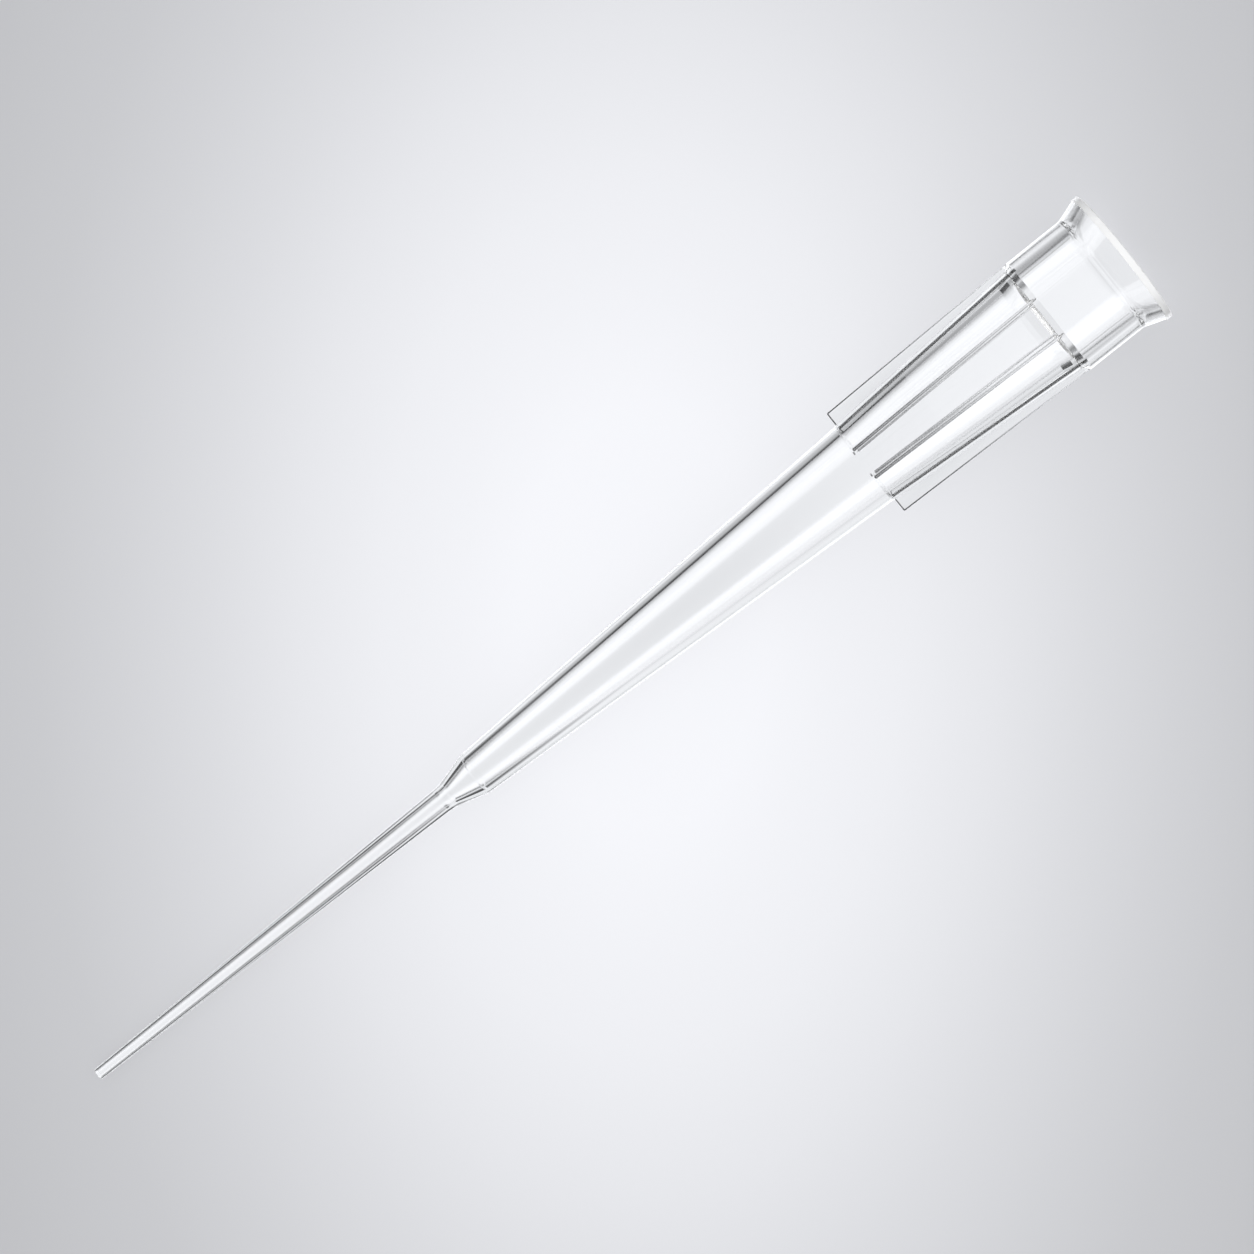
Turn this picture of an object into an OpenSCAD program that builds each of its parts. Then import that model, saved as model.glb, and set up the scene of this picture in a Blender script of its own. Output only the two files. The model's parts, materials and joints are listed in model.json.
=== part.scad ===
// A clear, one-piece pipette tip of the long gel-loading kind, in millimetres.
// It is drawn upright, thin end at the origin, and then laid on its side as it comes to rest.
// Bores come first and walls are added outside them, so the tip keeps its walls when a bore changes.

/* [Overall] */
// Length from the cut end to the rim
total_length = 75; // [68:0.5:90]

/* [Socket] */
// Bore of the straight seal land that grips the pipette
socket_d = 5.6; // [4.6:0.05:6.8]
// Distance from the rim down to the top of the seal land
lead_in_h = 1.55; // [1:0.05:2.5]
// How far the lead-in opens on each side between the seal land and the mouth
lead_in_w = 0.75; // [0.3:0.05:0.9]
// Length of the seal land
seal_h = 3.85; // [3:0.05:6]
// How far the stop below the seal land narrows the bore on each side
stop_w = 0.1; // [0.05:0.01:0.2]
// Height of the stop's face, which slopes a little
stop_face_h = 0.03; // [0.02:0.01:0.1]
// Height of the stop below its face, where its bore tapers as the bore below it does
stop_h = 0.42; // [0.2:0.02:1]
// How far the sloping step below the stop narrows the bore on each side
step_w = 0.105; // [0.05:0.005:0.2]
// Height of the sloping step
step_h = 0.6; // [0.2:0.05:1]

/* [Collar] */
// Wall of the collar round the seal land
collar_wall = 0.925; // [0.75:0.025:1.2]
// Distance from the rim down to the collar's lower edge
collar_h = 5.25; // [3.5:0.05:8]
// Height of the sloping shoulder below the collar
shoulder_h = 0.34; // [0.2:0.02:1]

/* [Rim] */
// How far the flare stands out past the collar at its widest
flare_w = 0.415; // [0.2:0.005:0.6]
// Height of the flare between the collar and the lip band
flare_h = 1.22; // [0.8:0.02:2]
// How far the lip band stands out past the flare
lip_w = 0.06; // [0.02:0.01:0.15]
// Height of the lip band
lip_h = 0.38; // [0.2:0.02:0.8]

/* [Body] */
// Wall of the body round the seal land, just below the collar's shoulder
body_top_wall = 0.62; // [0.45:0.01:0.74]
// Wall of the body at the fins' lower ends
body_wall = 0.61; // [0.4:0.01:0.8]
// Distance from the rim down to the change of taper in the bore
bore_break_h = 13.4; // [10:0.1:16]
// Slope of the bore between the step and the change of taper, on each side, in degrees
upper_bore_slope = 2.28; // [1.5:0.01:2.8]
// Slope of the bore between the change of taper and the fins' lower ends
lower_bore_slope = 3.17; // [2:0.01:3.6]
// Depth of the witness line round the body at the fins' lower ends
witness_w = 0.05; // [0.01:0.01:0.08]
// Height of the witness line's slope
witness_h = 0.1; // [0.05:0.01:0.3]

/* [Fins] */
// Distance from the rim down to the fins' square lower ends
fin_end_h = 18.1; // [16:0.1:22]
// How far the fins stand out from the body at their lower ends
fin_w = 0.82; // [0.5:0.01:1]
// Thickness of a fin at its outer edge
fin_edge_w = 0.16; // [0.1:0.02:0.3]
// Thickness of a fin where it leaves the body
fin_root_w = 0.26; // [0.16:0.02:0.5]
// Distance between the two fins of a pair at their lower ends, middle to middle
fin_pair_gap = 1.9; // [1.2:0.05:2.6]
// How far each fin of a pair leans away from the other on its way up, in degrees
fin_splay = 1.2; // [0:0.1:2]

/* [Neck] */
// Height of the neck's upper corner above the cut end
neck_top_z = 28.6; // [20:0.1:36]
// Height of the sloping neck
neck_h = 2.15; // [1.5:0.05:4]
// Bore at the neck's upper corner
neck_top_bore_d = 1.72; // [1.4:0.02:2.1]
// Wall at the neck's upper corner
neck_top_wall = 0.49; // [0.4:0.01:0.6]
// Radius that blends the neck into the capillary
neck_blend_r = 3; // [0.5:0.1:4]

/* [Capillary] */
// Bore of the capillary at the neck
capillary_bore_d = 0.92; // [0.7:0.02:1.1]
// Wall of the capillary at the neck
capillary_wall = 0.31; // [0.24:0.01:0.38]
// Height of the short throat between the capillary and the neck's bore
throat_h = 0.75; // [0.3:0.05:1.5]
// How far the throat narrows the bore on each side
throat_w = 0.04; // [0:0.01:0.08]
// Bore of the cut end
orifice_d = 0.5; // [0.3:0.02:0.6]
// Wall of the cut end
orifice_wall = 0.11; // [0.08:0.01:0.16]

/* [Edges] */
// Radius on the rim's two edges
rim_edge_r = 0.06; // [0.02:0.01:0.12]
// Radius that blends the flare into the collar
flare_blend_r = 1.2; // [0.2:0.1:1.5]

/* [Hidden] */
$fn = 96;
arc_steps = 8;   // straight pieces in each rounded corner
overrun = 1;     // how far a cutting shape runs past what it cuts

// Heights above the cut end, from the sizes that are given down from the rim
lip_z = total_length - lip_h;
flare_z = lip_z - flare_h;
collar_z = total_length - collar_h;
shoulder_z = collar_z - shoulder_h;
seal_top_z = total_length - lead_in_h;
seal_bottom_z = seal_top_z - seal_h;
stop_face_z = seal_bottom_z - stop_face_h;
stop_z = stop_face_z - stop_h;
step_z = stop_z - step_h;
bore_break_z = total_length - bore_break_h;
fin_end_z = total_length - fin_end_h;
witness_z = fin_end_z - witness_h;
neck_z = neck_top_z - neck_h;
throat_top_z = neck_z + throat_h / 2;
throat_z = neck_z - throat_h / 2;

// Bore radii, from the mouth down to the cut end
socket_r = socket_d / 2;
mouth_r = socket_r + lead_in_w;
stop_r = socket_r - stop_w;
stop_foot_r = stop_r - stop_h * tan(upper_bore_slope);
step_r = stop_foot_r - step_w;
bore_break_r = step_r - (step_z - bore_break_z) * tan(upper_bore_slope);
body_bore_r = bore_break_r - (bore_break_z - fin_end_z) * tan(lower_bore_slope);
neck_top_bore_r = neck_top_bore_d / 2;
capillary_bore_r = capillary_bore_d / 2;
throat_r = capillary_bore_r - throat_w;
orifice_r = orifice_d / 2;

// Outside radii, from the rim down to the cut end
collar_r = socket_r + collar_wall;
flare_r = collar_r + flare_w;
rim_r = flare_r + lip_w;
body_top_r = socket_r + body_top_wall;
body_mid_r = body_bore_r + body_wall;
witness_r = body_mid_r - witness_w;
fin_end_r = body_mid_r + fin_w;
neck_top_r = neck_top_bore_r + neck_top_wall;
capillary_r = capillary_bore_r + capillary_wall;
cut_end_r = orifice_r + orifice_wall;

// How far out the facing corners of a pair's two fins reach at their lower ends
fin_foot_r = sqrt(pow(fin_end_r, 2) - pow((fin_pair_gap - fin_edge_w) / 2, 2));

// On its side it rests on its cut end and on the rim or the lower fins, whichever stands out more
rim_slope = (rim_r - cut_end_r) / lip_z;
fin_slope = (fin_foot_r - cut_end_r) / fin_end_z;
lie_angle = atan(max(rim_slope, fin_slope));
low_end_x = -cut_end_r * sin(lie_angle);
high_end_x = total_length * cos(lie_angle) + rim_r * sin(lie_angle);
rest_z = cut_end_r * cos(lie_angle);

function unit(v) = v / norm(v);

// Points along an arc of radius r that rounds the corner b of the outline a, b, c
function rounded(a, b, c, r) =
    let (
        to_a = unit(a - b),
        to_c = unit(c - b),
        half_angle = acos(to_a * to_c) / 2,
        reach = r / tan(half_angle),
        centre = b + unit(to_a + to_c) * r / sin(half_angle),
        from = b + to_a * reach - centre,
        to = b + to_c * reach - centre,
        start = atan2(from.y, from.x),
        turn = (atan2(to.y, to.x) - start + 540) % 360 - 180
    )
    [for (i = [0 : arc_steps])
        let (angle = start + turn * i / arc_steps)
        centre + r * [cos(angle), sin(angle)]];

// Half section of the solid tip without its fins, radius against height
module outer_section() {
    cut_end = [cut_end_r, 0];
    neck_bottom = [capillary_r, neck_z];
    neck_top = [neck_top_r, neck_top_z];
    collar_bottom = [collar_r, collar_z];
    collar_top = [collar_r, flare_z];
    flare_top = [flare_r, lip_z];
    lip_bottom = [rim_r, lip_z];
    lip_top = [rim_r, total_length];
    rim_centre = [0, total_length];
    polygon(concat(
        [[0, 0], cut_end],
        rounded(cut_end, neck_bottom, neck_top, neck_blend_r),
        [
            neck_top,
            [witness_r, witness_z],
            [body_mid_r, fin_end_z],
            [body_top_r, shoulder_z],
            collar_bottom
        ],
        rounded(collar_bottom, collar_top, flare_top, flare_blend_r),
        [flare_top, lip_bottom],
        rounded(lip_bottom, lip_top, rim_centre, rim_edge_r),
        [rim_centre]
    ));
}

// Half section of the bore, which runs past both ends of the tip
module bore_section() {
    mouth = [mouth_r, total_length];
    land_top = [socket_r, seal_top_z];
    above_mouth = [mouth_r + overrun, total_length];
    polygon(concat(
        [
            [0, -overrun],
            [orifice_r, -overrun],
            [orifice_r, 0],
            [throat_r, throat_z],
            [capillary_bore_r, throat_top_z],
            [neck_top_bore_r, neck_top_z],
            [body_bore_r, fin_end_z],
            [bore_break_r, bore_break_z],
            [step_r, step_z],
            [stop_foot_r, stop_z],
            [stop_r, stop_face_z],
            [socket_r, seal_bottom_z],
            land_top
        ],
        rounded(land_top, mouth, above_mouth, rim_edge_r),
        [above_mouth + [0, overrun], [0, total_length + overrun]]
    ));
}

// One fin from the middle of the body outwards, thinner at its outer edge and too long at both ends
module fin_blade() {
    reach = max(fin_end_r, collar_r);
    translate([0, 0, -overrun])
        linear_extrude(height = collar_z - fin_end_z + 2 * overrun)
            polygon([
                [0, -fin_root_w / 2],
                [body_mid_r, -fin_root_w / 2],
                [fin_foot_r, -fin_edge_w / 2],
                [reach, -fin_edge_w / 2],
                [reach, fin_edge_w / 2],
                [fin_foot_r, fin_edge_w / 2],
                [body_mid_r, fin_root_w / 2],
                [0, fin_root_w / 2]
            ]);
}

// A pair of fins under the body, a pair over it and one on each side
module fin_blades() {
    for (side = [0, 180], lean = [-1, 1])
        rotate([0, 0, side])
            translate([0, lean * fin_pair_gap / 2, 0])
                rotate([-lean * fin_splay, 0, 0])
                    fin_blade();
    for (side = [90, 270])
        rotate([0, 0, side])
            fin_blade();
}

// All the fins, cut square at their lower ends and back to a slim cone that meets the collar
module fins() {
    translate([0, 0, fin_end_z])
        intersection() {
            fin_blades();
            cylinder(h = collar_z - fin_end_z, r1 = fin_end_r, r2 = collar_r);
        }
}

module upright_tip() {
    difference() {
        union() {
            rotate_extrude()
                outer_section();
            fins();
        }
        rotate_extrude()
            bore_section();
    }
}

// The tip on its side, wide end towards +X, over the middle of the space that it covers
module pipette_tip() {
    color("aliceblue", 0.4)
        translate([-(low_end_x + high_end_x) / 2, 0, rest_z])
            rotate([0, 90 - lie_angle, 0])
                upright_tip();
}

pipette_tip();
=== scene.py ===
import json
import math

import bpy
from mathutils import Matrix, Vector


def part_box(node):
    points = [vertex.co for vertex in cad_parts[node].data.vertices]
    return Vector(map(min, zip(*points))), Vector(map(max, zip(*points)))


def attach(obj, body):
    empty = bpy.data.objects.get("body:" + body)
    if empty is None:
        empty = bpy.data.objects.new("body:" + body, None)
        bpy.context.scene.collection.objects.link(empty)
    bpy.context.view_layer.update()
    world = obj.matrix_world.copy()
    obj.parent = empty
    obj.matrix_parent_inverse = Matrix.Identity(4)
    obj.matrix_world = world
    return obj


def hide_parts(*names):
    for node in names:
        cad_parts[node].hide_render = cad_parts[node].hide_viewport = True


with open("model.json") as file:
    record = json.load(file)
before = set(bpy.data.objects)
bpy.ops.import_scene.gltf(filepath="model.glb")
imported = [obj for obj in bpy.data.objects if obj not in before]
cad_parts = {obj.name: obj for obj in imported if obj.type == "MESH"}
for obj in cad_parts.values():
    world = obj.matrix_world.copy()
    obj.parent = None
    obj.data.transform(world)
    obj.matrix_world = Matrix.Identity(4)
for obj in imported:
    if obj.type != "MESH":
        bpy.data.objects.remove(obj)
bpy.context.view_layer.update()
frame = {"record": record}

MM = 0.001
TOUCH = 1e-6         # places closer than this, in metres, are the same
WELD = 1e-7          # vertices closer than this, in metres, are merged
SIDES = 180          # flats round the tip
ARC_STEPS = 6        # flats in each rounded corner
SMOOTH_ANGLE = math.radians(25)

# The socket that the record gives: the middle of the seal land, its axis and its bore
socket = frame["record"]["mounts"][0]
SOCKET_AXIS = Vector(socket["axis"])
SOCKET_POS = Vector(socket["pos_m"])
SOCKET_R = socket["dims"]["r_mm"]
SEAL_H = socket["dims"]["length_mm"]

# Sizes in millimetres: _Z is a height above the cut end, _H a length along the tip, _R a radius
# and _W a width
TOTAL_LENGTH = 75
LEAD_IN_H, LEAD_IN_W = 1.55, 0.75
STOP_FACE_H, STOP_H, STOP_W, STOP_FOOT_R = 0.03, 0.42, 0.1, 2.683
STEP_H, STEP_R = 0.6, 2.578
COLLAR_WALL, COLLAR_H, SHOULDER_H = 0.925, 5.25, 0.34
FLARE_W, FLARE_H, LIP_W, LIP_H = 0.415, 1.22, 0.06, 0.38
BODY_TOP_R, BODY_MID_R, WITNESS_W, WITNESS_H = 3.42, 2.651, 0.05, 0.1
BORE_BREAK_Z, BORE_BREAK_R, BODY_BORE_R = 61.6, 2.301, 2.041
NECK_TOP_Z, NECK_H, NECK_TOP_R, NECK_TOP_BORE_R, NECK_BLEND_R = 28.6, 2.15, 1.35, 0.86, 3
CAPILLARY_R, CAPILLARY_BORE_R = 0.77, 0.46
THROAT_H, THROAT_R = 0.75, 0.42
CUT_END_R, ORIFICE_R = 0.36, 0.25
RIM_EDGE_R, FLARE_BLEND_R = 0.06, 1.2
FIN_END_Z, FIN_END_R, FIN_EDGE_W, FIN_ROOT_W = 56.9, 3.471, 0.16, 0.26
WITNESS_GAP = 0.02   # how far the witness line lies under the fins' lower ends
FIN_PAIR_GAP, FIN_SPLAY = 1.9, math.radians(1.2)
FIN_ROUND_R, FIN_ROUND_STEPS = 0.075, 4
FIN_ROUND_IN = 0.1   # how far inside the wall the rounding of a fin's lower end starts
FIN_OVERLAP = 0.05   # how far a fin's upper end runs on into the collar
FIN_SINK = 0.02      # how far a fin's outer edge lies inside the collar's side there

# The plastic. A tone, from 0, black, to 1, white, stands beside its share of the way, and a
# haze's roughness beside the level of the noise that it goes with
WHITE = (1, 1, 1, 1)
PLASTIC_IOR = 1.49
NOISE_DETAIL = 3
HAZE_STRETCH, HAZE_SCALE = 4, 900
FLOW_STRETCH, FLOW_SCALE = 25, 2200
FLOW_DEPTH = 0.001   # how far the faint flow lines stand out, in mm
WALL_HAZE = ((0.3, 0.012), (0.7, 0.03))
EDGE_HAZE = ((0.3, 0.05), (0.7, 0.09))
RIM_HAZE = ((0.3, 0.1), (0.7, 0.16))
RIM_CLEARNESS, RIM_SHEEN, SHEEN_ROUGHNESS = 0.08, 1, 0.4
# Painted shade: the fins' sides are a little darker than the wall
FIN_SHADE = 0.86
# Painted shade: the fins' edges are dark, most towards their lower ends, for the dark outlines that light
# bent at the edges gives
FIN_EDGE_SHADE = ((0, 0.04), (0.3, 0.16), (0.6, 0.42), (1, 0.8))

# Painted shade: dark lines painted along the wall's sides in place of the dark bands of light bent
# through the wall: their tones across them, how wide they are and how far in from the wall's side
# they lie, in mm. The collar's painted shade draws nearer to the side by the rim
BODY_SHADE_LINE = ((0, 1), (0.25, 0.03), (0.75, 0.03), (1, 1))
BODY_SHADE_LINE_W, BODY_SHADE_LINE_IN = 0.26, 0.27
COLLAR_SHADE_LINE = ((0, 1), (0.5, 0.72), (1, 1))
COLLAR_SHADE_LINE_W, COLLAR_SHADE_LINE_IN = 0.5, 0.25
COLLAR_SHADE = ((0, 1), (0.35, 0.3), (0.65, 0.3), (1, 1))
COLLAR_SHADE_W, COLLAR_SHADE_IN = 0.14, (0.2, 0.13)

# The sockets that a Mix node uses for colours: its factor, its two colours and its result
MIX_FACTOR, MIX_FIRST, MIX_SECOND, MIX_RESULT = 0, 6, 7, 2

# The camera. The point that it looks at is given along the tip and to its side, in mm
CAMERA_LEAN, CAMERA_ROLL = math.radians(4.77), math.radians(38.63)
CAMERA_DISTANCE, CAMERA_LENS = 169.24, 86.12
CAMERA_CLIP = (0.01, 20)
AIM_HEIGHT, AIM_SIDE = 40.66, 1.13

# The floor, with a painted pool of light. Its tones go out from its middle by shares of FLOOR_SPREAD,
# in mm, as ovals that are FLOOR_STRETCH times as long one way
FLOOR_SIZE, FLOOR_GAP = 8, 0.00001           # in metres, the gap being under the tip
FLOOR_MIDDLE = (3.9, 1)                      # in mm
FLOOR_SPREAD, FLOOR_STRETCH = 72, 1 / 0.6
FLOOR_LIGHT_POOL = (
    (0, 0.96), (0.1, 0.945), (0.15, 0.91), (0.21, 0.875), (0.28, 0.81), (0.35, 0.73),
    (0.42, 0.66), (0.49, 0.6), (0.6, 0.545), (1, 0.45))
FLOOR_TINT = (0.985, 0.993, 1.03, 1)
FLOOR_FADE = (0.25, 1)                       # from where to where it fades into the backdrop, in metres

# The lamps. A softbox has its name, its side, its elevation, its spread and its brightness
SOFTBOX_LENGTH, SOFTBOX_DISTANCE = 1.6, 0.8
SOFTBOXES = (("softbox_far", 1, 18, 8, 1.1), ("softbox_near", -1, 24, 19, 1.1))
SOFTBOX_COLOUR = (0.98, 0.99, 1)
OVERHEAD, OVERHEAD_SIZE, OVERHEAD_HEIGHT = 1.58, 3, 1.5
BOUNCES = 32

# The studio round the tip: an even fill, a backdrop, and what the plastic mirrors and lets through
FILL = (0.1164, 0.1182, 0.12, 1)
BACKDROP = (0.5, 0.51, 0.54, 1)
STUDIO_TINT = (0.955, 0.97, 1, 1)
# Against a ray's rise, from -1, straight down, to 1, straight up
MIRRORED_TONES = (
    (-1, 1.8), (-0.84, 1.7), (-0.76, 0.06), (-0.06, 0.06), (0.06, 0.5), (0.4, 0.3), (1, 0.15))
ABOVE_TONES = ((0, 0.8), (0.5, 0.55), (1, 0.4))
# Against a downward ray's lean towards +X, in degrees
ALONG_TONES = (
    (-90, 0.8), (-65, 0.75), (-45, 0.85), (-25, 1), (-12, 1.04), (-7, 1), (-3, 0.97), (1, 1.05),
    (6, 1.12), (12, 1.05), (25, 1), (90, 1))
# Against a downward ray's lean from straight down towards +Y, in degrees
CAPILLARY_TONES = (
    (-180, 0.5), (-92, 0.5), (-84, 0.6), (-62, 0.65), (-55, 0.3), (-48, 0.06), (-33, 0.03),
    (-26, 0.35), (-20, 0.7), (-15, 0.82), (-12, 0.92), (0, 0.96), (5, 1.04), (8, 0.95), (12, 0.78),
    (19, 0.66), (25, 0.33), (34, 0.05), (47, 0.04), (57, 0.15), (62, 0.45), (70, 0.6), (84, 0.6),
    (92, 0.5), (180, 0.5))
BODY_TONES = (
    (-180, 0.5), (-92, 0.5), (-84, 0.75), (-70, 0.8), (-55, 0.85), (-46, 0.92), (-38, 0.97),
    (-30, 1), (-6.5, 1), (-5, 0.92), (0, 0.9), (3.8, 0.92), (5, 1.04), (14, 1.02), (18, 0.93),
    (24, 0.74), (30, 0.58), (38, 0.52), (45, 0.44), (49, 0.2), (54, 0.06), (63, 0.06), (70, 0.5),
    (76, 0.75), (84, 0.7), (92, 0.5), (180, 0.5))
COLLAR_TONES = (
    (-180, 0.5), (-92, 0.5), (-84, 0.75), (-65, 0.78), (-57, 0.82), (-50, 0.75), (-42, 0.6),
    (-37, 0.7), (-30, 0.95), (-24, 0.86), (-18, 0.88), (-13, 0.95), (-7, 0.95), (-5.5, 0.93),
    (0, 0.925), (5, 0.91), (7, 0.88), (10, 0.88), (12.5, 0.96), (20, 0.95), (24, 0.92), (27, 0.85),
    (31, 0.7), (36, 0.55), (42, 0.47), (50, 0.4), (57, 0.5), (65, 0.55), (72, 0.7), (84, 0.7),
    (92, 0.5), (180, 0.5))
SHOULDER_TONES = (
    (-180, 0.5), (-92, 0.5), (-84, 0.75), (-66, 0.82), (-59, 0.3), (-50, 0.08), (-35, 0.1),
    (-27, 0.45), (-20, 0.85), (-8, 0.92), (0, 0.88), (8, 0.92), (20, 0.85), (27, 0.45), (35, 0.1),
    (50, 0.08), (59, 0.3), (66, 0.82), (84, 0.75), (92, 0.5), (180, 0.5))
OBLIQUE_TONES = (
    (-180, 0.5), (-92, 0.5), (-84, 0.8), (-50, 0.9), (0, 0.93), (50, 0.9), (84, 0.8), (92, 0.5),
    (180, 0.5))
# The parts of the tip slope differently, and so send light out at other leans towards +X. From the
# oblique tones at the lowest leans, each row's tones come in from its first lean to its second
LEAN_CHANGES = (
    (-38, -31, COLLAR_TONES),
    (-21, -18.5, CAPILLARY_TONES),
    (-11, -8.5, BODY_TONES),
    (-2, 3, COLLAR_TONES),
    (20, 27, SHOULDER_TONES))


def arc(before, corner, after, radius):
    """Points of the arc that rounds a corner of an outline."""
    before, corner, after = Vector(before), Vector(corner), Vector(after)
    to_before = (before - corner).normalized()
    to_after = (after - corner).normalized()
    half_angle = to_before.angle(to_after) / 2
    reach = radius / math.tan(half_angle)
    centre = corner + (to_before + to_after).normalized() * radius / math.sin(half_angle)
    start = corner + to_before * reach - centre
    turn = start.angle_signed(corner + to_after * reach - centre)
    points = []
    for i in range(ARC_STEPS + 1):
        spoke = start.copy()
        spoke.rotate(Matrix.Rotation(-turn * i / ARC_STEPS, 2))
        points.append(centre + spoke)
    return points


def rounded_outline(corners):
    """Turns corners (radius, height, blend radius) into points (radius, height, is a crease)."""
    points = []
    for i, (r, z, blend) in enumerate(corners):
        if blend:
            before, after = corners[i - 1][:2], corners[(i + 1) % len(corners)][:2]
            rounded = arc(before, (r, z), after, blend)
            for j, point in enumerate(rounded):
                points.append((point.x, point.y, j in (0, len(rounded) - 1)))
        else:
            points.append((r, z, True))
    return points


def tip_corners():
    """The half section's corners, up the outside and down the bore."""
    collar_r = SOCKET_R + COLLAR_WALL
    flare_r = collar_r + FLARE_W
    rim_r = flare_r + LIP_W
    lip_z = TOTAL_LENGTH - LIP_H
    collar_z = TOTAL_LENGTH - COLLAR_H
    seal_top_z = TOTAL_LENGTH - LEAD_IN_H
    seal_bottom_z = seal_top_z - SEAL_H
    stop_face_z = seal_bottom_z - STOP_FACE_H
    stop_z = stop_face_z - STOP_H
    neck_z = NECK_TOP_Z - NECK_H
    witness_top_z = FIN_END_Z - WITNESS_GAP
    outside = [
        (CUT_END_R, 0, 0),
        (CAPILLARY_R, neck_z, NECK_BLEND_R),
        (NECK_TOP_R, NECK_TOP_Z, 0),
        (BODY_MID_R - WITNESS_W, witness_top_z - WITNESS_H, 0),
        (BODY_MID_R, witness_top_z, 0),
        (BODY_TOP_R, collar_z - SHOULDER_H, 0),
        (collar_r, collar_z, 0),
        (collar_r, lip_z - FLARE_H, FLARE_BLEND_R),
        (flare_r, lip_z, 0),
        (rim_r, lip_z, 0),
        (rim_r, TOTAL_LENGTH, RIM_EDGE_R),
    ]
    inside = [
        (SOCKET_R + LEAD_IN_W, TOTAL_LENGTH, RIM_EDGE_R),
        (SOCKET_R, seal_top_z, 0),
        (SOCKET_R, seal_bottom_z, 0),
        (SOCKET_R - STOP_W, stop_face_z, 0),
        (STOP_FOOT_R, stop_z, 0),
        (STEP_R, stop_z - STEP_H, 0),
        (BORE_BREAK_R, BORE_BREAK_Z, 0),
        (BODY_BORE_R, FIN_END_Z, 0),
        (NECK_TOP_BORE_R, NECK_TOP_Z, 0),
        (CAPILLARY_BORE_R, neck_z + THROAT_H / 2, 0),
        (THROAT_R, neck_z - THROAT_H / 2, 0),
        (ORIFICE_R, 0, 0),
    ]
    return outside + inside


def land_height():
    """The height of the seal land's middle above the cut end."""
    return TOTAL_LENGTH - LEAD_IN_H - SEAL_H / 2


def fin_ends():
    """Where the fins start and where the collar does, along the frame's X and in millimetres."""
    ends = []
    for height in (FIN_END_Z, TOTAL_LENGTH - COLLAR_H):
        ends.append(SOCKET_POS.x / MM + (height - land_height()) * SOCKET_AXIS.x)
    return ends


def select_only(piece):
    bpy.ops.object.select_all(action="DESELECT")
    piece.select_set(True)
    bpy.context.view_layer.objects.active = piece


def edit(piece):
    select_only(piece)
    bpy.ops.object.mode_set(mode="EDIT")


def select_vertices(piece, test):
    """Selects the vertices whose place passes the test, in edit mode."""
    bpy.ops.mesh.select_all(action="DESELECT")
    bpy.ops.object.mode_set(mode="OBJECT")
    for vertex in piece.data.vertices:
        vertex.select = test(vertex.co)
    bpy.ops.object.mode_set(mode="EDIT")


def select_edges(piece, test):
    """Selects the edges whose two ends pass the test, in edit mode."""
    bpy.ops.mesh.select_mode(type="EDGE")
    bpy.ops.mesh.select_all(action="DESELECT")
    bpy.ops.object.mode_set(mode="OBJECT")
    vertices = piece.data.vertices
    for edge in piece.data.edges:
        edge.select = test(vertices[edge.vertices[0]].co, vertices[edge.vertices[1]].co)
    bpy.ops.object.mode_set(mode="EDIT")


def add_materials(piece, names):
    """Gives a piece the materials of these names."""
    for name in names:
        piece.data.materials.append(bpy.data.materials[name])


def moulded_wall():
    """The tube with its collar and rim: one ring drawn up the outside, over the rim and down the bore."""
    points = rounded_outline(tip_corners())
    first_r, first_z, _ = points[0]
    bpy.ops.object.select_all(action="DESELECT")
    bpy.ops.mesh.primitive_circle_add(vertices=SIDES, radius=first_r * MM, location=(0, 0, first_z * MM))
    wall = bpy.context.object
    wall.name = "moulded_wall"
    edit(wall)
    bpy.ops.mesh.select_all(action="SELECT")
    r, z = first_r, first_z
    for next_r, next_z, crease in points[1:]:
        bpy.ops.mesh.extrude_region_move(TRANSFORM_OT_translate={"value": (0, 0, (next_z - z) * MM)})
        bpy.ops.transform.resize(value=(next_r / r, next_r / r, 1), center_override=(0, 0, 0))
        if crease:
            bpy.ops.mesh.mark_sharp()
        r, z = next_r, next_z
    select_vertices(wall, lambda co: abs(co.z) < TOUCH)
    bpy.ops.mesh.mark_sharp()
    bpy.ops.mesh.bridge_edge_loops()
    bpy.ops.mesh.select_all(action="SELECT")
    bpy.ops.mesh.normals_make_consistent(inside=False)
    bpy.ops.object.mode_set(mode="OBJECT")
    return wall


def leg(slant, side):
    """The other short side of a right-angled triangle, from its long side and one short side."""
    return math.sqrt(slant ** 2 - side ** 2)


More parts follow.
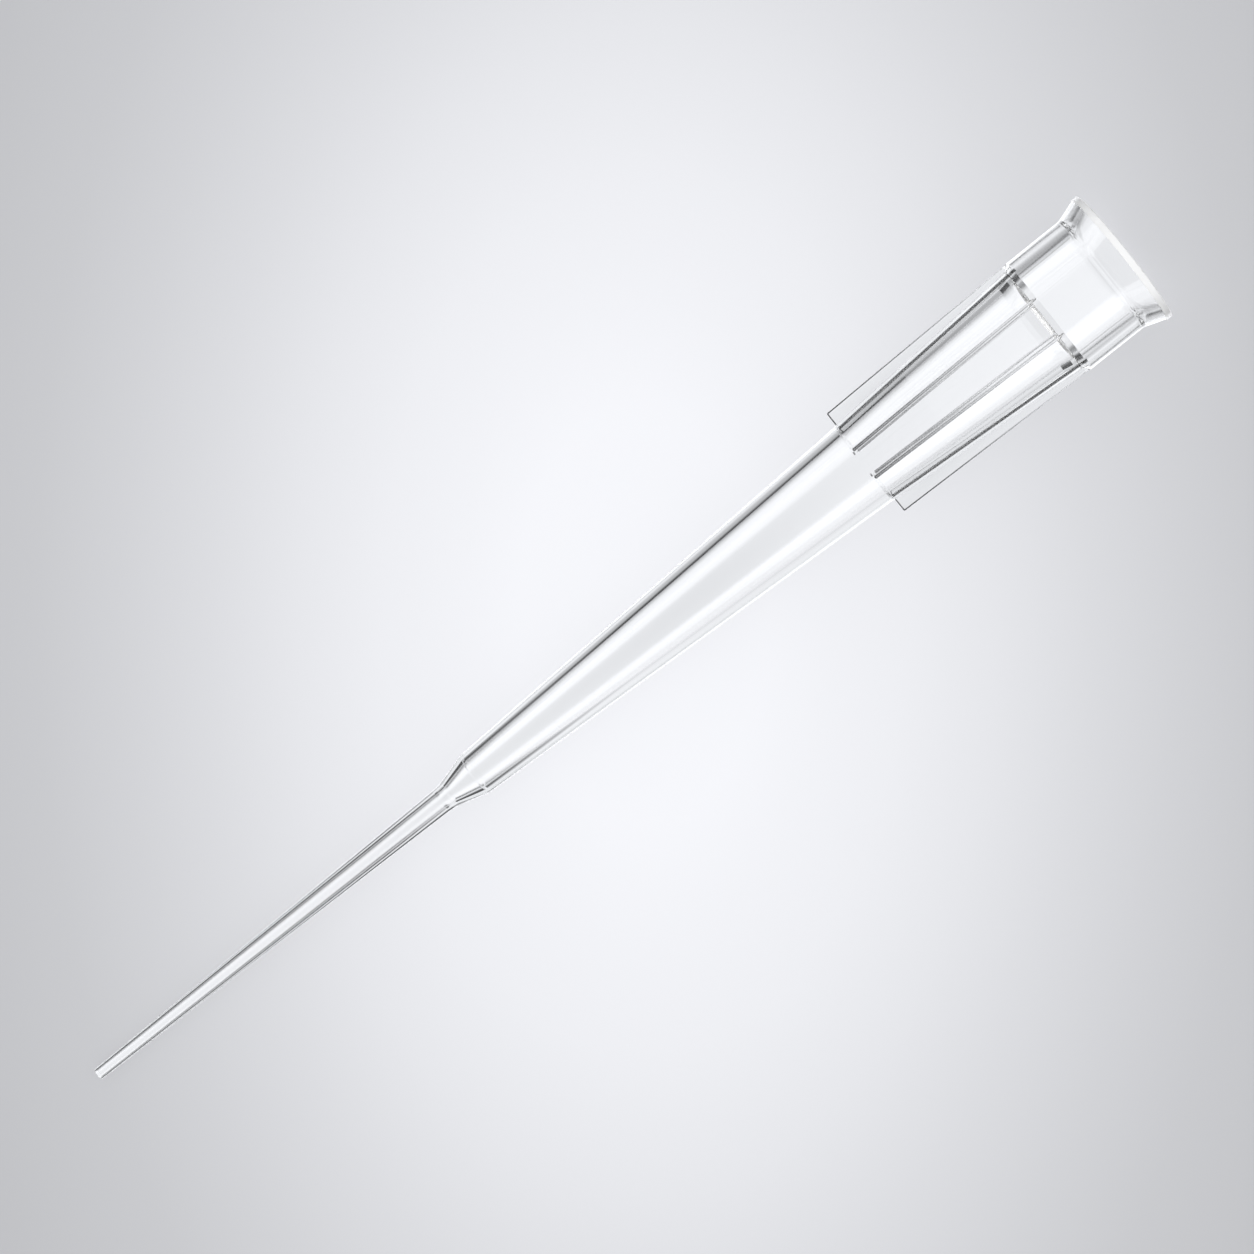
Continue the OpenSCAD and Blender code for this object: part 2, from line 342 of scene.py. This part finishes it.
def fin_blade(low_side, high_side):
    """One fin over +X, its middle plane low_side from the axis at its lower end and high_side at its
    upper end. Its foot lies inside the wall, and its outer edge and lower end are rounded."""
    top_z = TOTAL_LENGTH - COLLAR_H + FIN_OVERLAP
    middle_z = (FIN_END_Z + top_z) / 2
    low_foot = leg((BODY_BORE_R + BODY_MID_R) / 2, low_side)
    high_foot = leg((SOCKET_R + BODY_TOP_R) / 2, high_side)
    low_edge = leg(FIN_END_R, low_side)
    round_start = leg(BODY_MID_R, low_side) - FIN_ROUND_IN
    high_edge = leg(SOCKET_R + COLLAR_WALL - FIN_SINK, high_side)
    bpy.ops.object.select_all(action="DESELECT")
    bpy.ops.mesh.primitive_cube_add(size=1, location=(0, 0, 0))
    blade = bpy.context.object
    blade.name = "fin_blade"
    add_materials(blade, ["fins", "fin_edges"])
    edit(blade)
    size = ((low_edge - low_foot) * MM, FIN_ROOT_W * MM, (top_z - FIN_END_Z) * MM)
    bpy.ops.transform.resize(value=size, center_override=(0, 0, 0))
    bpy.ops.transform.translate(value=((low_edge + low_foot) / 2 * MM, 0, middle_z * MM))
    select_vertices(blade, lambda co: co.z > middle_z * MM and co.x < (low_foot + low_edge) / 2 * MM)
    bpy.ops.transform.translate(value=((high_foot - low_foot) * MM, 0, 0))
    select_vertices(blade, lambda co: co.z > middle_z * MM and co.x > low_edge * MM - TOUCH)
    bpy.ops.transform.translate(value=((high_edge - low_edge) * MM, 0, 0))
    for x in (round_start, BODY_MID_R, low_edge):
        bpy.ops.mesh.select_all(action="SELECT")
        bpy.ops.mesh.bisect(plane_co=(x * MM, 0, 0), plane_no=(1, 0, 0))
    select_vertices(blade, lambda co: co.x > low_edge * MM - TOUCH)
    bpy.ops.transform.resize(value=(1, FIN_EDGE_W / FIN_ROOT_W, 1), center_override=(0, 0, 0))
    bpy.ops.mesh.select_all(action="SELECT")
    bpy.ops.mesh.normals_make_consistent(inside=False)
    slope = (high_edge - low_edge) / (top_z - FIN_END_Z)

    def on_outer_edge(co):
        return abs(co.x - (low_edge + (co.z / MM - FIN_END_Z) * slope) * MM) < TOUCH

    def on_lower_end(co):
        return abs(co.z - FIN_END_Z * MM) < TOUCH and co.x > round_start * MM - TOUCH

    def is_rounded(a, b):
        return (on_outer_edge(a) and on_outer_edge(b)) or (on_lower_end(a) and on_lower_end(b))

    select_edges(blade, is_rounded)
    bpy.ops.mesh.bevel(
        offset=FIN_ROUND_R * MM, segments=FIN_ROUND_STEPS, affect="EDGES", clamp_overlap=True,
        material=1)
    bpy.ops.mesh.select_all(action="SELECT")
    bpy.ops.mesh.remove_doubles(threshold=WELD)
    bpy.ops.object.mode_set(mode="OBJECT")
    return blade


def set_fin(blade, lean, angle):
    """Moves a fin out to one side of a pair, leans it outwards and turns it round the tip."""
    edit(blade)
    bpy.ops.mesh.select_all(action="SELECT")
    if lean:
        low_end = (0, 0, FIN_END_Z * MM)
        bpy.ops.transform.rotate(value=lean * FIN_SPLAY, orient_axis="X", center_override=low_end)
        bpy.ops.transform.translate(value=(0, lean * FIN_PAIR_GAP / 2 * MM, 0))
    bpy.ops.transform.rotate(value=math.radians(angle), orient_axis="Z", center_override=(0, 0, 0))
    bpy.ops.object.mode_set(mode="OBJECT")


def fins():
    """One fin on each side, a pair over the tip and a pair under it. They are in triangles, so that
    the union has no warped faces to cut."""
    low_side = FIN_PAIR_GAP / 2
    high_side = low_side + (TOTAL_LENGTH - COLLAR_H - FIN_END_Z) * math.tan(FIN_SPLAY)
    blades = []
    for angle in (90, 270):
        blades.append(fin_blade(0, 0))
        set_fin(blades[-1], 0, angle)
    for angle in (0, 180):
        for lean in (-1, 1):
            blades.append(fin_blade(low_side, high_side))
            set_fin(blades[-1], lean, angle)
    bpy.ops.object.select_all(action="DESELECT")
    for blade in blades:
        blade.select_set(True)
    bpy.context.view_layer.objects.active = blades[0]
    bpy.ops.object.join()
    edit(blades[0])
    bpy.ops.mesh.select_all(action="SELECT")
    bpy.ops.mesh.quads_convert_to_tris()
    bpy.ops.object.mode_set(mode="OBJECT")
    return blades[0]


def map_range(nodes, links, value, low, high):
    """A value turned into a share of the way from low to high."""
    share = nodes.new("ShaderNodeMapRange")
    share.inputs["From Min"].default_value = low
    share.inputs["From Max"].default_value = high
    links.new(value, share.inputs["Value"])
    return share.outputs["Result"]


def maths(nodes, links, operation, *values):
    """A maths node over sockets and plain numbers."""
    node = nodes.new("ShaderNodeMath")
    node.operation = operation
    for socket_in, value in zip(node.inputs, values):
        if isinstance(value, bpy.types.NodeSocket):
            links.new(value, socket_in)
        else:
            socket_in.default_value = value
    return node.outputs["Value"]


def mixed(nodes, links, blend, share, first, second):
    """A colour mixed from two others, each a socket or a plain colour."""
    mix = nodes.new("ShaderNodeMix")
    mix.data_type = "RGBA"
    mix.blend_type = blend
    for place, value in ((MIX_FACTOR, share), (MIX_FIRST, first), (MIX_SECOND, second)):
        if isinstance(value, bpy.types.NodeSocket):
            links.new(value, mix.inputs[place])
        else:
            mix.inputs[place].default_value = value
    return mix.outputs[MIX_RESULT]


def mixed_shader(nodes, links, share, first, second):
    mix = nodes.new("ShaderNodeMixShader")
    links.new(share, mix.inputs["Fac"])
    links.new(first, mix.inputs[1])
    links.new(second, mix.inputs[2])
    return mix.outputs["Shader"]


def grey_ramp(nodes, tones):
    """A colour ramp of greys, from pairs of a place and its tone."""
    ramp = nodes.new("ShaderNodeValToRGB")
    elements = ramp.color_ramp.elements
    elements.remove(elements[1])
    elements[0].position = tones[0][0]
    elements[0].color = (tones[0][1], tones[0][1], tones[0][1], 1)
    for place, tone in tones[1:]:
        elements.new(place).color = (tone, tone, tone, 1)
    return ramp


def toned(nodes, links, share, tones):
    """The tone that stands at a share of the way."""
    ramp = grey_ramp(nodes, tones)
    links.new(share, ramp.inputs["Fac"])
    return ramp.outputs["Color"]


def spread_out(tones, low, high):
    """Tones against a value, turned into tones against its share of the way from low to high."""
    return [((value - low) / (high - low), tone) for value, tone in tones]


def object_place(nodes, links):
    """A point's X, Y and Z, as sockets."""
    place = nodes.new("ShaderNodeSeparateXYZ")
    links.new(nodes.new("ShaderNodeTexCoord").outputs["Object"], place.inputs["Vector"])
    return place.outputs


def object_noise(nodes, links, stretch, scale):
    """Fine noise in the piece's own coordinates, drawn out along the tip."""
    coords = nodes.new("ShaderNodeTexCoord")
    drawn_out = nodes.new("ShaderNodeMapping")
    drawn_out.inputs["Scale"].default_value = (1 / stretch, 1, 1)
    noise = nodes.new("ShaderNodeTexNoise")
    noise.inputs["Scale"].default_value = scale
    noise.inputs["Detail"].default_value = NOISE_DETAIL
    links.new(coords.outputs["Object"], drawn_out.inputs["Vector"])
    links.new(drawn_out.outputs["Vector"], noise.inputs["Vector"])
    return noise


def clear_plastic(name, roughness_tones, clearness=1, sheen=0):
    """Clear polypropylene with faint flow lines, through which lamps light the floor."""
    material = bpy.data.materials.new(name)
    material.use_nodes = True
    nodes, links = material.node_tree.nodes, material.node_tree.links
    plastic = nodes["Principled BSDF"]
    plastic.inputs["Base Color"].default_value = WHITE
    plastic.inputs["IOR"].default_value = PLASTIC_IOR
    plastic.inputs["Transmission Weight"].default_value = clearness
    plastic.inputs["Sheen Weight"].default_value = sheen
    plastic.inputs["Sheen Roughness"].default_value = SHEEN_ROUGHNESS
    haze = object_noise(nodes, links, HAZE_STRETCH, HAZE_SCALE)
    roughness = toned(nodes, links, haze.outputs["Fac"], roughness_tones)
    links.new(roughness, plastic.inputs["Roughness"])
    flow = object_noise(nodes, links, FLOW_STRETCH, FLOW_SCALE)
    flow_lines = nodes.new("ShaderNodeBump")
    flow_lines.inputs["Distance"].default_value = FLOW_DEPTH * MM
    links.new(flow.outputs["Fac"], flow_lines.inputs["Height"])
    links.new(flow_lines.outputs["Normal"], plastic.inputs["Normal"])
    through = nodes.new("ShaderNodeBsdfTransparent")
    is_shadow = nodes.new("ShaderNodeLightPath").outputs["Is Shadow Ray"]
    shader = mixed_shader(nodes, links, is_shadow, plastic.outputs["BSDF"], through.outputs["BSDF"])
    links.new(shader, nodes["Material Output"].inputs["Surface"])
    return material


def shade_line(nodes, links, place, ends, radii, width, tones):
    """A painted shade line along both sides of the wall, from where it starts and ends along X and how
    far out it runs there."""
    slope = (radii[1] - radii[0]) / (ends[1] - ends[0])
    past_start = maths(nodes, links, "SUBTRACT", place["X"], ends[0] * MM)
    line = maths(nodes, links, "MULTIPLY_ADD", past_start, slope, radii[0] * MM)
    beside = maths(nodes, links, "SUBTRACT", maths(nodes, links, "ABSOLUTE", place["Y"]), line)
    share = map_range(nodes, links, beside, -width / 2 * MM, width / 2 * MM)
    half_length = (ends[1] - ends[0]) / 2 * MM
    between_ends = maths(nodes, links, "COMPARE", past_start, half_length, half_length)
    return mixed(nodes, links, "MIX", between_ends, WHITE, toned(nodes, links, share, tones))


def wall_plastic():
    """The wall's plastic, with painted shade lines over the side fins' roots, on the upper half only, and
    along the collar's sides.
    """
    material = clear_plastic("clear_polypropylene_moulded", WALL_HAZE)
    nodes, links = material.node_tree.nodes, material.node_tree.links
    place = object_place(nodes, links)
    low_x, high_x = fin_ends()
    body = (low_x, high_x)
    body_radii = (BODY_MID_R - BODY_SHADE_LINE_IN, BODY_TOP_R - BODY_SHADE_LINE_IN)
    body_shade = shade_line(nodes, links, place, body, body_radii, BODY_SHADE_LINE_W, BODY_SHADE_LINE)
    # The body's painted shade lies on the upper half of the wall only
    rise = SOCKET_AXIS.z / SOCKET_AXIS.x
    middle_z = SOCKET_POS.z - SOCKET_POS.x * rise
    axis_z = maths(nodes, links, "MULTIPLY_ADD", place["X"], rise, middle_z)
    on_top = maths(nodes, links, "GREATER_THAN", place["Z"], axis_z)
    body_shade = mixed(nodes, links, "MIX", on_top, WHITE, body_shade)
    collar = (high_x, high_x + (COLLAR_H - LIP_H - FLARE_H) * SOCKET_AXIS.x)
    collar_r = SOCKET_R + COLLAR_WALL
    line_radii = (collar_r - COLLAR_SHADE_LINE_IN, collar_r - COLLAR_SHADE_LINE_IN)
    collar_line_shade = shade_line(nodes, links, place, collar, line_radii, COLLAR_SHADE_LINE_W, COLLAR_SHADE_LINE)
    shade_radii = [collar_r - way_in for way_in in COLLAR_SHADE_IN]
    collar_side_shade = shade_line(nodes, links, place, collar, shade_radii, COLLAR_SHADE_W, COLLAR_SHADE)
    painted_shades = mixed(nodes, links, "MULTIPLY", 1, body_shade, collar_line_shade)
    painted_shades = mixed(nodes, links, "MULTIPLY", 1, painted_shades, collar_side_shade)
    links.new(painted_shades, nodes["Principled BSDF"].inputs["Base Color"])


def rim_plastic():
    """The frosted plastic of the lip band."""
    clear_plastic("frosted_rim", RIM_HAZE, RIM_CLEARNESS, RIM_SHEEN)


def fin_plastic():
    """The plastic on the fins' sides, a little darker than the wall's: painted shade."""
    plastic = clear_plastic("fins", WALL_HAZE).node_tree.nodes["Principled BSDF"]
    plastic.inputs["Base Color"].default_value = (FIN_SHADE, FIN_SHADE, FIN_SHADE, 1)


def fin_edge_plastic():
    """The plastic on the fins' thin edges, with painted shade that is darker towards the fins' lower
    ends.
    """
    material = clear_plastic("fin_edges", EDGE_HAZE)
    nodes, links = material.node_tree.nodes, material.node_tree.links
    low_x, high_x = fin_ends()
    share = map_range(nodes, links, object_place(nodes, links)["X"], low_x * MM, high_x * MM)
    links.new(toned(nodes, links, share, FIN_EDGE_SHADE), nodes["Principled BSDF"].inputs["Base Color"])


def lay_down(piece):
    """Turns the upright tip on its side and lays it where the frame has it."""
    lie_angle = math.atan2(SOCKET_AXIS.z, SOCKET_AXIS.x)
    edit(piece)
    bpy.ops.mesh.select_all(action="SELECT")
    bpy.ops.transform.rotate(value=lie_angle - math.pi / 2, orient_axis="Y", center_override=(0, 0, 0))
    bpy.ops.object.mode_set(mode="OBJECT")
    low_x = min(vertex.co.x for vertex in piece.data.vertices)
    low_z = min(vertex.co.z for vertex in piece.data.vertices)
    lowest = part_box("pipette_tip")[0]
    edit(piece)
    bpy.ops.mesh.select_all(action="SELECT")
    bpy.ops.transform.translate(value=(lowest.x - low_x, 0, lowest.z - low_z))
    bpy.ops.object.mode_set(mode="OBJECT")


def clear_tip():
    """The tip as one closed piece: the wall with its frosted lip, united with the fins."""
    wall_plastic()
    rim_plastic()
    fin_plastic()
    fin_edge_plastic()
    wall = moulded_wall()
    add_materials(wall, ["clear_polypropylene_moulded", "frosted_rim"])
    lip_z = (TOTAL_LENGTH - LIP_H) * MM - TOUCH
    mouth_r = (SOCKET_R + LEAD_IN_W) * MM
    for face in wall.data.polygons:
        if face.center.z > lip_z and face.center.xy.length > mouth_r:
            face.material_index = 1
    blades = fins()
    union = wall.modifiers.new("fins", "BOOLEAN")
    union.operation = "UNION"
    union.solver = "EXACT"
    union.material_mode = "TRANSFER"
    union.object = blades
    select_only(wall)
    bpy.ops.object.modifier_apply(modifier=union.name)
    bpy.data.objects.remove(blades)
    bpy.ops.object.shade_smooth_by_angle(angle=SMOOTH_ANGLE, keep_sharp_edges=True)
    lay_down(wall)
    wall.name = "clear_tip"
    return wall


def add_floor():
    """A pale floor with a painted pool of light, brightest under the tip. Rays from the plastic pass it
    and meet the studio.
    """
    bpy.ops.mesh.primitive_plane_add(size=FLOOR_SIZE, location=(0, 0, -FLOOR_GAP))
    floor = bpy.context.object
    floor.name = "floor"
    material = bpy.data.materials.new("floor")
    material.use_nodes = True
    nodes, links = material.node_tree.nodes, material.node_tree.links
    nodes.remove(nodes["Principled BSDF"])
    oval = nodes.new("ShaderNodeMapping")
    oval.vector_type = "TEXTURE"
    oval.inputs["Location"].default_value = (FLOOR_MIDDLE[0] * MM, FLOOR_MIDDLE[1] * MM, 0)
    oval.inputs["Rotation"].default_value = (0, 0, -CAMERA_ROLL)
    oval.inputs["Scale"].default_value = (1, FLOOR_STRETCH, 1)
    links.new(nodes.new("ShaderNodeTexCoord").outputs["Object"], oval.inputs["Vector"])
    distance = nodes.new("ShaderNodeVectorMath")
    distance.operation = "LENGTH"
    links.new(oval.outputs["Vector"], distance.inputs[0])
    share = map_range(nodes, links, distance.outputs["Value"], 0, FLOOR_SPREAD * MM)
    tones = toned(nodes, links, share, FLOOR_LIGHT_POOL)
    matt = nodes.new("ShaderNodeBsdfDiffuse")
    links.new(mixed(nodes, links, "MULTIPLY", 1, tones, FLOOR_TINT), matt.inputs["Color"])
    rays = nodes.new("ShaderNodeLightPath").outputs
    from_plastic = maths(nodes, links, "MAXIMUM", rays["Is Transmission Ray"], rays["Is Glossy Ray"])
    far_off = map_range(nodes, links, distance.outputs["Value"], *FLOOR_FADE)
    unseen = maths(nodes, links, "MAXIMUM", from_plastic, far_off)
    through = nodes.new("ShaderNodeBsdfTransparent")
    shader = mixed_shader(nodes, links, unseen, matt.outputs["BSDF"], through.outputs["BSDF"])
    links.new(shader, nodes["Material Output"].inputs["Surface"])
    floor.data.materials.append(material)


def add_softbox(name, side, elevation, spread, brightness):
    """A long lamp beside the tip, side 1 being +Y. It spans spread degrees above and below its
    elevation, and the floor doesn't see it."""
    angle = math.radians(elevation)
    width = 2 * SOFTBOX_DISTANCE * math.tan(math.radians(spread))
    lamp = bpy.data.lights.new(name, "AREA")
    lamp.shape = "RECTANGLE"
    lamp.size, lamp.size_y = SOFTBOX_LENGTH, width
    lamp.energy = brightness * math.pi * SOFTBOX_LENGTH * width
    lamp.color = SOFTBOX_COLOUR
    softbox = bpy.data.objects.new(name, lamp)
    softbox.visible_diffuse = False
    bpy.context.collection.objects.link(softbox)
    back = Vector((0, side * math.cos(angle), math.sin(angle)))
    along = Vector((1, 0, 0))
    turn = Matrix((along, back.cross(along), back)).transposed().to_4x4()
    softbox.matrix_world = Matrix.Translation(back * SOFTBOX_DISTANCE) @ turn


def add_overhead_lamp():
    """A wide lamp that only matt surfaces see: the floor, also through the clear plastic, and the
    frosted lip."""
    bpy.ops.object.light_add(type="AREA", location=(0, 0, OVERHEAD_HEIGHT))
    overhead = bpy.context.object
    overhead.name = "overhead"
    overhead.data.size = OVERHEAD_SIZE
    overhead.data.energy = OVERHEAD * math.pi * OVERHEAD_SIZE ** 2
    overhead.data.cycles.use_multiple_importance_sampling = False
    overhead.visible_glossy = False
    overhead.visible_transmission = False


def light_through(nodes, links, ray):
    """The light that reaches the eye through the plastic, by the way each ray leaves it."""
    down = maths(nodes, links, "MULTIPLY", ray["Z"], -1)
    across = maths(nodes, links, "ARCTAN2", ray["Y"], down)
    across_share = map_range(nodes, links, across, -math.pi, math.pi)
    along = maths(nodes, links, "ARCSINE", ray["X"])
    along_share = map_range(nodes, links, along, -math.pi / 2, math.pi / 2)
    light = toned(nodes, links, across_share, spread_out(OBLIQUE_TONES, -180, 180))
    for start, end, tones in LEAN_CHANGES:
        following = toned(nodes, links, across_share, spread_out(tones, -180, 180))
        share = map_range(nodes, links, along, math.radians(start), math.radians(end))
        light = mixed(nodes, links, "MIX", share, light, following)
    along_tones = toned(nodes, links, along_share, spread_out(ALONG_TONES, -90, 90))
    below = mixed(nodes, links, "MULTIPLY", 1, light, along_tones)
    above = toned(nodes, links, ray["Z"], ABOVE_TONES)
    is_above = maths(nodes, links, "GREATER_THAN", ray["Z"], 0)
    return mixed(nodes, links, "MIX", is_above, below, above)


def add_studio():
    """What the plastic lets through and mirrors, an even fill for the floor and a plain backdrop."""
    world = bpy.data.worlds.new("studio")
    bpy.context.scene.world = world
    world.use_nodes = True
    nodes, links = world.node_tree.nodes, world.node_tree.links
    split = nodes.new("ShaderNodeSeparateXYZ")
    links.new(nodes.new("ShaderNodeTexCoord").outputs["Generated"], split.inputs["Vector"])
    ray = split.outputs
    height_share = map_range(nodes, links, ray["Z"], -1, 1)
    mirrored = toned(nodes, links, height_share, spread_out(MIRRORED_TONES, -1, 1))
    rays = nodes.new("ShaderNodeLightPath").outputs
    seen_through = light_through(nodes, links, ray)
    light = mixed(nodes, links, "MIX", rays["Is Transmission Ray"], mirrored, seen_through)
    light = mixed(nodes, links, "MULTIPLY", 1, light, STUDIO_TINT)
    light = mixed(nodes, links, "MIX", rays["Is Diffuse Ray"], light, FILL)
    light = mixed(nodes, links, "MIX", rays["Is Camera Ray"], light, BACKDROP)
    links.new(light, nodes["Background"].inputs["Color"])


def set_light_paths():
    """Lets light pass all the plastic's surfaces, and leaves out the bright spots that it would focus."""
    cycles = bpy.context.scene.cycles
    cycles.caustics_refractive = False
    cycles.caustics_reflective = False
    cycles.max_bounces = BOUNCES
    cycles.transmission_bounces = BOUNCES
    cycles.glossy_bounces = BOUNCES


def add_camera():
    """Looks down on the tip, which runs from the lower left of the picture to the upper right."""
    along = Vector((math.cos(CAMERA_LEAN), 0, -math.sin(CAMERA_LEAN)))
    across = Vector((0, 1, 0))
    back = along.cross(across)
    right = along * math.cos(CAMERA_ROLL) - across * math.sin(CAMERA_ROLL)
    up = along * math.sin(CAMERA_ROLL) + across * math.cos(CAMERA_ROLL)
    aim = SOCKET_POS - SOCKET_AXIS * (land_height() - AIM_HEIGHT) * MM + across * AIM_SIDE * MM
    camera = bpy.data.objects.new("camera", bpy.data.cameras.new("camera"))
    bpy.context.collection.objects.link(camera)
    camera.data.lens = CAMERA_LENS
    camera.data.clip_start, camera.data.clip_end = CAMERA_CLIP
    turn = Matrix((right, up, back)).transposed().to_4x4()
    camera.matrix_world = Matrix.Translation(aim + back * CAMERA_DISTANCE * MM) @ turn
    bpy.context.scene.camera = camera


tip = clear_tip()
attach(tip, "root")
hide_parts("pipette_tip")
add_floor()
for softbox in SOFTBOXES:
    add_softbox(*softbox)
add_overhead_lamp()
add_studio()
set_light_paths()
add_camera()
bpy.context.scene.view_settings.view_transform = "Standard"
